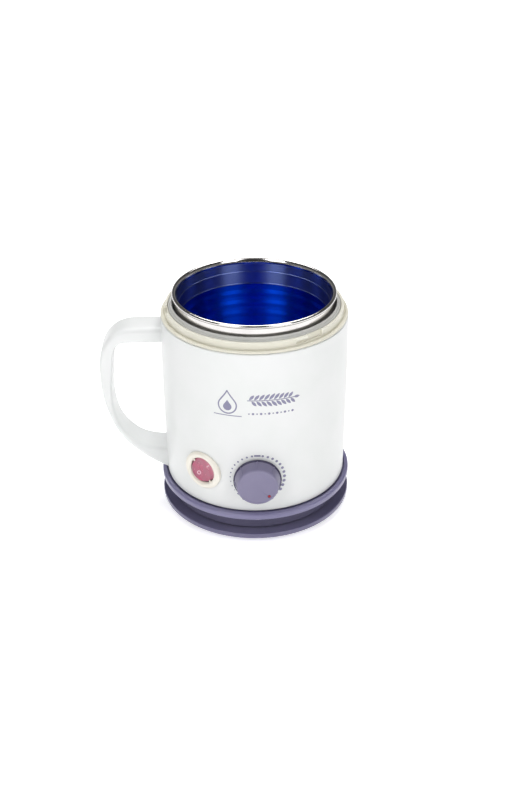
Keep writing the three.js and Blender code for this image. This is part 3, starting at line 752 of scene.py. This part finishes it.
def make_lower_flange():
    """A plate with a ring-shaped recess below, and a thin lip, lighter than the dark top inside it. Both are
    painted shade under the upper flange: the plate a darker copy of the purple, its top a plum.
    """
    low, high = heights("base_flange_lower")
    lip = high - 0.6
    floor = low + 2.6
    outline = [
        (0, low), (44, low), (45, low + 0.5, 0.3), (48, low + 0.5, 0.3), (49, low, 0.3),
        (FLANGE_R, low, 1.1), (FLANGE_R, lip, 0.8), (FLANGE_R - 1.3, lip, 0.3),
        (FLANGE_R - 1.4, lip - 0.4, 0.15), (FLANGE_R - 4.0, lip - 0.5), (52.3, lip - 0.5, 0.5),
        (SCREW_CIRCLE_R, floor, 0.5), (0, floor),
    ]
    obj = turned("spool_flange_lower", outline, closed=False)
    cut(obj, [rod(1.8, low - 1, high + 1, standing(SCREW_CIRCLE_R, azimuth)) for azimuth in SCREW_AZIMUTHS])
    smooth_cut(obj)
    # the flange takes the darker copy of the purple, painted shade under the upper flange
    dress(obj, PAINTED_SHADE_PURPLE, PAINTED_SHADE_PLUM)
    # the top inside the lip takes the plum, painted shade under the upper flange
    for face in obj.data.polygons:
        inside = hypot(face.center.x, face.center.y) < (FLANGE_R - 1.3) * MM
        face.material_index = 1 if inside and face.center.z > (floor + 0.1) * MM else 0
    piece(obj, "purple_plastic", "base_flange_lower")


def make_foot(node, radius, place):
    """A round pad with a ring-shaped groove in its sole."""
    low, high = heights(node)
    groove = radius * 0.55
    outline = [
        (0, low), (groove, low, 0.2), (groove + 0.3, low + 0.4, 0.15),
        (groove + 0.9, low + 0.4, 0.15), (groove + 1.2, low, 0.2), (radius - 0.2, low, 0.6),
        (radius, high, 0.3), (0, high),
    ]
    obj = turned(node + "_pad", outline, closed=False, segments=COARSE, place=place)
    piece(dress(obj, BLACK_RUBBER), "black_rubber", node)


SHANK_R, HEAD_R = 1.5, 3.2
HEAD_SEAT, SCREW_TIP = 3.7, 40.0
PITCH, THREAD_DEPTH = 0.9, 0.3


def make_screw(node, place):
    """Pan-head screw: a dimpled head below, and a threaded shank made of stacked turns."""
    head_low = HEAD_SEAT - 1.8
    outline = [(0, head_low + 0.9), (HEAD_R * 0.28, head_low + 0.7), (HEAD_R * 0.36, head_low + 0.05, 0.1)]
    outline += [(HEAD_R * 0.75, head_low, 0.5), (HEAD_R, head_low + 0.8, 0.4)]
    outline += [(HEAD_R, HEAD_SEAT, 0.15), (SHANK_R, HEAD_SEAT)]
    for i in range(int((SCREW_TIP - HEAD_SEAT - 2) / PITCH)):
        z = HEAD_SEAT + 0.6 + i * PITCH
        outline += [(SHANK_R - THREAD_DEPTH, z), (SHANK_R, z + PITCH / 2)]
    outline += [(SHANK_R - THREAD_DEPTH, SCREW_TIP - 0.8), (0, SCREW_TIP)]
    obj = turned(node + "_detailed", outline, closed=False, segments=32, place=place)
    piece(dress(obj, STEEL), "steel", node)


def make_cord_inlet():
    """A grommet through the drum's wall, with a flange and a rounded mouth outside."""
    bore, barrel, flange = 3.3, 4.4, 4.9
    back, seat, mouth = 51, 57.3, 59.2
    outline = [
        (bore, back, 0.2), (barrel, back, 0.2), (barrel, seat), (flange, seat, 0.15),
        (flange, seat + 1.0, 0.3), (barrel, mouth, 0.4), (bore + 0.3, mouth, 0.3),
        (bore, mouth - 0.6, 0.4),
    ]
    place = outward(INLET_AZIMUTH, INLET_HEIGHT)
    obj = turned("cord_grommet", outline, segments=COARSE, place=place)
    piece(dress(obj, BLACK_PLASTIC), "black_plastic", "cord_inlet")


# ---- dial
KNOB_R = 15.4
RIB_COUNT = 8
RIB_HALF = 2.1  # degrees
RIB_FOOT_R = 15.1  # the furthest that a rib stands out
BORE_R = 3.3
SKIRT_HEIGHT = 1.55  # of the dark ring next to the casing, painted dark as the shade in the gap behind the knob


def make_knob():
    """A tapered cup with a hub inside. The face has close rings where the pointer's pit is pressed in."""
    back, face = KNOB_BACK, KNOB_FACE
    flat = face - 0.2
    outline = [
        (BORE_R, back + 3.6, 0.2), (6.9, back + 3.6, 0.3), (6.9, back, 0.2),
        (KNOB_R, back, 0.25), (KNOB_R, back + 0.9, 0.3), (14.6, back + 1.5, 0.5),
        (14.35, back + 3.0), (13.9, back + 5.0), (13.45, face - 1.6), (13.2, face - 0.9),
        (12.9, face - 0.35), (12.4, face - 0.05), (11.9, face, 0.2),
        *((11.4 - 0.15 * i, flat) for i in range(17)),
        (0, flat), (0, face - 1.8), (BORE_R, face - 1.8, 0.2),
    ]

    def shape(azimuth, r, z):
        spread = 360.0 / RIB_COUNT
        off = abs((azimuth + spread / 2) % spread - spread / 2)
        rib = max(0.0, 1.0 - (off / RIB_HALF) ** 4)
        if r > 13.0 and back + 1.2 < z < face - 0.5:
            r = min(r + rib * (0.25 + 0.5 * (face - z) / (face - back)), RIB_FOOT_R)
        if z > face - 0.3:
            z -= pointer_pit(r, azimuth)
        return r, z

    obj = turned("dial_knob", outline, segments=COARSE * 6, shape=shape, place=outward(0, KNOB_HEIGHT))
    # the ring next to the casing takes the dark skirt colour, painted shade of the gap behind it
    dress(obj, KNOB_PURPLE, PAINTED_SHADE_SKIRT)
    for face in obj.data.polygons:
        out = -face.center.y / MM
        radius = hypot(face.center.x, face.center.z - KNOB_HEIGHT * MM) / MM
        face.material_index = 1 if out < back + SKIRT_HEIGHT and radius > 14.4 else 0
    piece(obj, "purple_plastic", "temperature_knob", body="dial")


POINTER_R = 10.2
POINTER_ANGLE = radians(-45.0)
PIT_R, PIT_DEPTH, PIT_SLOPE = 1.3, 0.6, 0.3


def pointer_centre():
    return Vector((cos(POINTER_ANGLE), sin(POINTER_ANGLE))) * POINTER_R


def pointer_pit(r, azimuth):
    """Depth of the round pit that the pointer sits in, at a point of the knob's face."""
    turn = radians(azimuth)
    away = (Vector((r * sin(turn), -r * cos(turn))) - pointer_centre()).length
    fall = max(0.0, min(1.0, (PIT_R - away) / PIT_SLOPE))
    return PIT_DEPTH * fall * fall * (3 - 2 * fall)


def make_pointer():
    radius = 0.95
    back, shoulder, top = KNOB_FACE - 0.75, KNOB_FACE - 0.4, KNOB_FACE - 0.17
    outline = [(0, back), (radius, back, 0.1), (radius, shoulder, 0.2), (radius / 2, top, 0.3), (0, top)]
    place = outward(0, KNOB_HEIGHT) @ Matrix.Translation((pointer_centre() * MM).to_3d())
    obj = turned("dial_pointer", outline, closed=False, segments=COARSE, place=place)
    piece(dress(obj, RED), "red_plastic", "knob_pointer", body="dial")


# ---- switch
BEZEL_R = 13.3
OPENING_R = 9.0
BEZEL_FRONT = 62.4
BEZEL_BARREL_R = 10.2
LINER_DEPTH = 2.0  # below the front, where the cream wall ends and the mauve lining, painted shade of the gap round the rocker, starts
NUB_SIZE = (1.7, 1.1, 1.0)
NUB_SINK = 0.35


def make_bezel():
    back, flange_back = 50, 57.0
    outline = [
        (OPENING_R, back, 0.2), (BEZEL_BARREL_R, back, 0.2), (BEZEL_BARREL_R, flange_back),
        (BEZEL_R, flange_back, 0.2), (BEZEL_R, BEZEL_FRONT - 1.1, 0.9),
        (BEZEL_R - 1.5, BEZEL_FRONT, 0.9), (BEZEL_R - 2.9, BEZEL_FRONT, 0.3),
        (OPENING_R + 0.75, BEZEL_FRONT - 0.3, 0.3), (OPENING_R, BEZEL_FRONT - 1.1, 0.3),
        (OPENING_R, BEZEL_FRONT - LINER_DEPTH + 0.1),
        (OPENING_R, BEZEL_FRONT - LINER_DEPTH - 0.1),
    ]
    place = outward(ROCKER_AZIMUTH, ROCKER_HEIGHT)

    def shape(azimuth, r, z):
        """The flange's back follows the casing's curve."""
        if r > BEZEL_BARREL_R + 0.1 and z < flange_back + 1:
            across = r * sin(radians(azimuth))
            z = sqrt((SHELL_R + 0.05) ** 2 - across**2)
        return r, z

    obj = turned("rocker_bezel", outline, segments=COARSE * 2, shape=shape, place=place)
    for side in (0, 180):
        nub_place = outward(ROCKER_AZIMUTH, ROCKER_HEIGHT, ROCKER_ROLL + side)
        nub_centre = (OPENING_R - NUB_SINK, 0, BEZEL_FRONT - 0.75)
        boolean(obj, rounded_box("nub", NUB_SIZE, nub_centre, nub_place, 0.25), "UNION")
    smooth_cut(obj, 35)
    # the opening's wall below the liner depth takes the mauve, painted shade
    dress(obj, BEZEL_CREAM, PAINTED_SHADE_LINER)
    into = outward(ROCKER_AZIMUTH, ROCKER_HEIGHT).inverted()
    for face in obj.data.polygons:
        local = into @ face.center / MM
        shaded_lining = hypot(local.x, local.y) < BEZEL_BARREL_R - 0.2
        face.material_index = 1 if shaded_lining and local.z < BEZEL_FRONT - LINER_DEPTH else 0
    piece(obj, "cream_plastic", "switch_bezel")


ROCKER_R = 8.25
FRONT_MIDDLE, FRONT_DISH = 3.75, 1.55
CAP_THICKNESS = 1.3
WIDER_ACROSS = 0.035  # the cap is a little wider along its hinge, where it can't tip into the bezel
MARK_OFFSET = 4.5
MARK_RISE = 0.06


def rocker_place():
    tilt = Matrix.Rotation(radians(-ROCKER_TILT), 4, "X")
    lift = Matrix.Translation((0, 0, ROCKER_PIVOT * MM))
    return outward(ROCKER_AZIMUTH, ROCKER_HEIGHT, ROCKER_ROLL) @ lift @ tilt


def rocker_front(y):
    """Height of the rocker's dished front above its pivot, in mm."""
    return FRONT_MIDDLE + FRONT_DISH * (y / ROCKER_R) ** 2


def make_rocker():
    """The clear pink cap, the moulded core seen through it, and the two marks."""
    rings = 16
    edge = ROCKER_R - 0.6
    flare = ROCKER_R + 0.4
    flat = 3.15
    outline = [(edge - 0.6, -1.9, 0.2), (ROCKER_R, -1.9, 0.3), (flare, -1.2, 0.3), (flare, 1.1, 0.6)]
    outline += [(ROCKER_R, flat - 0.5), (ROCKER_R - 0.07, flat - 0.1), (ROCKER_R - 0.28, flat), (edge, flat)]
    outline += [(edge * (1 - i / rings), flat) for i in range(1, rings)]
    outline += [(0, flat), (0, flat - CAP_THICKNESS)]
    outline += [(edge * i / rings, flat - CAP_THICKNESS) for i in range(1, rings)]

    def shape(azimuth, r, z):
        r *= 1 + WIDER_ACROSS * sin(radians(azimuth)) ** 2
        if z < flat - CAP_THICKNESS - 0.1:
            return r, z
        up = -r * cos(radians(azimuth))
        return r, z - flat + rocker_front(up)

    obj = turned("rocker_cap", outline, segments=COARSE, shape=shape, place=rocker_place())
    piece(dress(obj, ROCKER), "rocker_plastic", "power_rocker", body="rocker")
    make_rocker_core()
    make_rocker_marks()


def make_rocker_core():
    """Light panels either side of a lamp channel, under the cap; the channel is painted dark as shade."""
    place = rocker_place()
    channel = rounded_box("rocker_lamp_channel", (2.6, 11.5, 1.2), (0, 0, 1.2), place, 0.2)
    piece(dress(channel, CORE_PAINTED_SHADE), "rocker_plastic", body="rocker")
    for number, side in enumerate((-1, 1)):
        panel = rounded_box(f"rocker_panel_{number + 1}", (3.6, 9.6, 1.3), (side * 3.5, 0, 1.25), place, 0.4)
        piece(dress(panel, CORE_LIGHT), "rocker_plastic", body="rocker")
        rib = rounded_box(f"rocker_rib_{number + 1}", (11.5, 0.7, 1.4), (0, side * 5.4, 1.3), place, 0.2)
        piece(dress(rib, CORE_LIGHT), "rocker_plastic", body="rocker")


def make_rocker_marks():
    """A bar on the ON end and a ring on the OFF end, printed on the dished front."""
    place = rocker_place()
    bar = bar_from(-0.32, 0.32, -1.25, 2.5)
    ring = (0, 0, 1.35, 0.8)
    marks = [(relief("mark_on", [bar]), MARK_OFFSET), (relief("mark_off", [], rings=[ring]), -MARK_OFFSET)]
    for obj, offset in marks:
        for vertex in obj.data.vertices:
            y = vertex.co.y / MM + offset
            z = rocker_front(y) - MARK_RISE / 2 + vertex.co.z / MM
            vertex.co = place @ (Vector((vertex.co.x / MM, y, z)) * MM)
        obj.data.update()
        piece(dress(obj, MARK), "rocker_plastic", body="rocker")


# ---- prints on the casing
STRIP = 0.8  # width of the strips that a flat print is cut into, so that it can be bent
RING_POINTS = 32


def relief(name, polygons, rings=()):
    """Flat shapes in mm, raised by a print's thickness. A ring is (x, y, outer radius, inner radius)."""
    build = bmesh.new()
    for polygon in polygons:
        build.faces.new([build.verts.new((x * MM, y * MM, 0)) for x, y in polygon])
    for x, y, outer, inner in rings:
        loops = []
        for radius in (outer, inner):
            circle = disc(x, y, radius, RING_POINTS)
            loops.append([build.verts.new((a * MM, b * MM, 0)) for a, b in circle])
        for i in range(RING_POINTS):
            j = (i + 1) % RING_POINTS
            build.faces.new((loops[0][i], loops[0][j], loops[1][j], loops[1][i]))
    low = min(v.co.x for v in build.verts) / MM
    high = max(v.co.x for v in build.verts) / MM
    for k in range(1, int((high - low) / STRIP)):
        geometry = build.verts[:] + build.edges[:] + build.faces[:]
        point = ((low + k * STRIP) * MM, 0, 0)
        bmesh.ops.bisect_plane(build, geom=geometry, dist=WELD / 10, plane_co=point, plane_no=(1, 0, 0))
    bmesh.ops.recalc_face_normals(build, faces=build.faces)
    for face in build.faces:
        if face.normal.z < 0:
            face.normal_flip()
    top = bmesh.ops.extrude_face_region(build, geom=build.faces[:])
    moved = [item for item in top["geom"] if isinstance(item, bmesh.types.BMVert)]
    bmesh.ops.translate(build, vec=(0, 0, MARK_RISE * MM), verts=moved)
    bmesh.ops.recalc_face_normals(build, faces=build.faces)
    return link_mesh(name, build)


def onto_casing(obj, height):
    """Bends a flat relief round the casing, half sunk: its x runs round the wall, its y up the wall."""
    for vertex in obj.data.vertices:
        z = vertex.co.y / MM + height
        radius = shell_radius(z) - MARK_RISE / 2 + vertex.co.z / MM
        vertex.co = circle_point(radius, degrees(vertex.co.x / MM / SHELL_R), z)
    obj.data.update()
    piece(dress(obj, PRINT), "white_plastic")


def disc(x, y, radius, points=20):
    angles = [tau * i / points for i in range(points)]
    return [(x + radius * cos(angle), y + radius * sin(angle)) for angle in angles]


SCALE_R = 17.6
SCALE_STEP = 11.1  # degrees
SCALE_DOTS = 11  # on each side of 12 o'clock
SCALE_END = 134.0  # degrees
DOT_SIZE, DOT_GROWTH = 1.5, 0.8  # diameter at 12 o'clock, and how much it gains by the hot end


def dial_point(clock):
    """A point round the dial, the angle measured clockwise from 12 o'clock."""
    return SCALE_R * sin(radians(clock)), SCALE_R * cos(radians(clock))


def dial_tick(clock, length, width):
    """A bar along the dial's circle."""
    turn = radians(clock)
    x, y = dial_point(clock)
    along = Vector((cos(turn), -sin(turn))) * length / 2
    across = Vector((sin(turn), cos(turn))) * width / 2
    corners = (along + across, across - along, -along - across, along - across)
    return [(x + corner.x, y + corner.y) for corner in corners]


def make_dial_scale():
    """A bar at 12 o'clock, small end marks, and dots that grow towards the hot end."""
    shapes = [dial_tick(0, 4.1, 1.25), dial_tick(SCALE_END, 1.6, 0.8), dial_tick(-SCALE_END, 1.6, 0.8)]
    for i in range(-SCALE_DOTS, SCALE_DOTS + 1):
        if i != 0:
            size = DOT_SIZE + DOT_GROWTH * i / SCALE_DOTS
            shapes.append(disc(*dial_point(i * SCALE_STEP), size / 2))
    onto_casing(relief("dial_scale", shapes), KNOB_HEIGHT)


EMBLEM_HEIGHT = 104.0
LEAVES, LEAF_WIDTH, LEAF_ANGLE = 9, 1.9, 48
EMBLEM_DOTS = 12


def leaf(x, y, length, width, angle):
    """A pointed lens with its stalk end at x, y."""
    points = []
    for side in (1, -1):
        for i in range(8):
            t = i / 8 if side > 0 else 1 - i / 8
            points.append((length * t, side * width / 2 * sin(pi * t) ** 0.8))
    cosine, sine = cos(radians(angle)), sin(radians(angle))
    return [(x + a * cosine - b * sine, y + a * sine + b * cosine) for a, b in points]


def drop(x, y, size):
    """A wax drop: a round belly drawn out to a point at the top."""
    points = []
    for i in range(40):
        angle = tau * i / 40
        stretch = 0.75 * max(0.0, cos(angle)) ** 4
        points.append((x + size * sin(angle) * (1 - stretch), y + size * (cos(angle) + stretch)))
    return points


def frame_of(outer, inner):
    """Strips between two outlines with the same number of points."""
    count = len(outer)
    return [[outer[i], outer[(i + 1) % count], inner[(i + 1) % count], inner[i]] for i in range(count)]


def bar_from(left, right, low, height):
    return [(left, low), (right, low), (right, low + height), (left, low + height)]


def make_emblem():
    """A neutral mark in place of the maker's: a wax drop and a leafy sprig over a dotted line."""
    line = 0.6
    drop_x, drop_y = -18.5, -1.6
    shapes = frame_of(drop(drop_x, drop_y, 6.2), drop(drop_x, drop_y, 5.3))
    shapes.append(drop(drop_x, drop_y - 1.0, 2.7))
    shapes.append(bar_from(drop_x - 9, drop_x + 9, -9.1, line))
    left, right, stalk = -6.0, 23.5, 2.3
    shapes.append(bar_from(left, right, stalk, line))
    for i in range(LEAVES):
        along = i / (LEAVES - 1)
        x = left + 1.2 + (right - left - 5) * along
        length = 5.6 - 2.0 * abs(along - 0.5)
        shapes.append(leaf(x, stalk + 0.7, length, LEAF_WIDTH, LEAF_ANGLE))
        shapes.append(leaf(x + 1.4, stalk - 0.1, length, LEAF_WIDTH, -LEAF_ANGLE))
    shapes.append(leaf(right - 0.2, stalk + 0.3, 4.0, LEAF_WIDTH, 0))
    for i in range(EMBLEM_DOTS):
        x = left + 1.0 + (right - left - 2) * i / (EMBLEM_DOTS - 1)
        shapes.append(disc(x, -6.8, 0.8 if i % 2 else 0.5))
    onto_casing(relief("emblem", shapes), EMBLEM_HEIGHT)


# ---- stage, camera, light
CAMERA_DISTANCE, CAMERA_HEIGHT = 0.64874, 0.45177
CAMERA_AZIMUTH = -1.1
CAMERA_YAW, CAMERA_PITCH, CAMERA_ROLL = 0.531, 30.37, -0.168
CAMERA_LENS = 50.34


def make_camera():
    """The photo's view: a little left of the dial, looking down."""
    data = bpy.data.cameras.new("camera")
    data.lens = CAMERA_LENS
    data.sensor_width = 36
    data.clip_start = 0.02
    camera = link_object("camera", data)
    place = Vector((sin(radians(CAMERA_AZIMUTH)), -cos(radians(CAMERA_AZIMUTH)), 0))
    place = place * CAMERA_DISTANCE + Vector((0, 0, CAMERA_HEIGHT))
    heading = radians(CAMERA_AZIMUTH - CAMERA_YAW)
    camera.matrix_world = (
        Matrix.Translation(place)
        @ Matrix.Rotation(heading, 4, "Z")
        @ Matrix.Rotation(radians(90 - CAMERA_PITCH), 4, "X")
        @ Matrix.Rotation(radians(CAMERA_ROLL), 4, "Z")
    )
    bpy.context.scene.camera = camera


FLOOR_GLOW = (0.3, 1.3, 0.55, 1.1)  # first and last distance in metres from the middle, and the glow at each


def make_stage():
    """A white floor with a soft glow of its own that grows where the lights don't reach."""
    build = bmesh.new()
    bmesh.ops.create_grid(build, x_segments=4, y_segments=4, size=3.0)
    floor = link_mesh("floor", build)
    n = Nodes("floor_white")
    base = n.mix(n.noise(6.0), (0.93, 0.93, 0.93), (0.95, 0.95, 0.95))
    away = n.add("ShaderNodeVectorMath", operation="LENGTH")
    n.link(n.add("ShaderNodeNewGeometry").outputs["Position"], away.inputs[0])
    glow = n.span(away.outputs["Value"], *FLOOR_GLOW)
    n.give(Base_Color=base, Roughness=0.6, Emission_Color=(1, 1, 1, 1), Emission_Strength=glow)
    dress(floor, n.material)


AIM_HEIGHT = 0.08


def area_light(name, place, size, watts):
    """A white softbox that faces the middle of the object."""
    data = bpy.data.lights.new(name, "AREA")
    data.shape = "RECTANGLE"
    data.size, data.size_y = size
    data.energy = watts
    light = link_object(name, data)
    aim = (Vector((0, 0, AIM_HEIGHT)) - Vector(place)).to_track_quat("-Z", "Y")
    light.matrix_world = Matrix.Translation(place) @ aim.to_matrix().to_4x4()


# The studio's glow fades with the Z of a light ray, and its Y dims the glow between the front softboxes.
# Each is given as the first and last Z or Y, then the glow, or the glow's share, at each of the two.
STUDIO_GLOW = (0.15, 0.5, 0.25, 0.06)
STUDIO_GAP = (-0.96, -0.8, 0.15, 1.0)
BACKDROP = 0.85  # glow of the pale backdrop behind the floor


def make_light():
    """Two large softboxes in front and one overhead, in a dim studio. The dark gap between the front two
    shows in the polished metal and in the blue lacquer."""
    world = bpy.data.worlds.new("studio")
    bpy.context.scene.world = world
    world.use_nodes = True
    tree = world.node_tree
    background = tree.nodes["Background"]
    background.inputs["Color"].default_value = (1, 1, 1, 1)
    split = tree.nodes.new("ShaderNodeSeparateXYZ")
    tree.links.new(tree.nodes.new("ShaderNodeTexCoord").outputs["Generated"], split.inputs["Vector"])
    glow = tree.nodes.new("ShaderNodeMath")
    glow.operation = "MULTIPLY"
    for factor, (axis, numbers) in enumerate((("Z", STUDIO_GLOW), ("Y", STUDIO_GAP))):
        fade = tree.nodes.new("ShaderNodeMapRange")
        set_range(fade, *numbers)
        tree.links.new(split.outputs[axis], fade.inputs["Value"])
        tree.links.new(fade.outputs["Result"], glow.inputs[factor])
    seen = tree.nodes.new("ShaderNodeMapRange")
    seen.inputs["To Max"].default_value = BACKDROP
    tree.links.new(tree.nodes.new("ShaderNodeLightPath").outputs["Is Camera Ray"], seen.inputs["Value"])
    tree.links.new(glow.outputs["Value"], seen.inputs["To Min"])
    tree.links.new(seen.outputs["Result"], background.inputs["Strength"])
    area_light("softbox_left", (-0.65, -0.86, 0.95), (0.56, 0.9), watts=6.9)
    area_light("softbox_right", (0.65, -0.86, 0.95), (0.56, 0.9), watts=6.4)
    area_light("softbox_top", (0.0, 0.5, 1.2), (1.2, 0.6), watts=12.5)
    bpy.context.scene.view_settings.view_transform = "Standard"


make_camera()
make_stage()
make_light()
make_shell()
make_handle()
make_collar()
make_gasket()
make_well()
make_pot()
make_upper_flange()
make_drum()
make_lower_flange()
for index, azimuth in enumerate(FOOT_AZIMUTHS):
    make_foot(f"foot_{index + 1}", FOOT_R, standing(FOOT_CIRCLE_R, azimuth))
make_foot("foot_centre", CENTRE_FOOT_R, Matrix.Identity(4))
for index, azimuth in enumerate(SCREW_AZIMUTHS):
    make_screw(f"base_screw_{index + 1}", standing(SCREW_CIRCLE_R, azimuth))
make_cord_inlet()
make_knob()
make_pointer()
make_bezel()
make_rocker()
make_dial_scale()
make_emblem()

# The pieces that stay hidden keep their CAD mesh.
CAD_FINISHES = (
    (STEEL, ("collar_screw_1", "collar_screw_2", "collar_screw_3")),
    (STEEL, ("handle_screw_upper", "handle_screw_lower", "thermostat_nut")),
    (STEEL, ("heater_strap", "sensor_clip", "thermal_fuse", "fuse_clip")),
    (COPPER, ("sensor_bulb", "capillary_tube")),
    (COPPER, ("switch_terminal_1", "switch_terminal_2", "switch_terminal_3")),
    (BLACK_PLASTIC, ("thermostat_body", "switch_housing")),
    (BROWN_WIRE, ("wire_switch_to_thermostat", "wire_block_to_fuse")),
    (BLUE_WIRE, ("wire_block_to_switch",)),
    (MAT_SILICONE, ("heater_band",)),
    (FIBRE, ("insulation_sleeve",)),
    (ALUMINIUM, ("thermostat_shaft",)),
    (LAMP, ("neon_lamp",)),
    (CREAM, ("terminal_block",)),
)
for material, nodes in CAD_FINISHES:
    for node in nodes:
        dress(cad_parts[node], material)
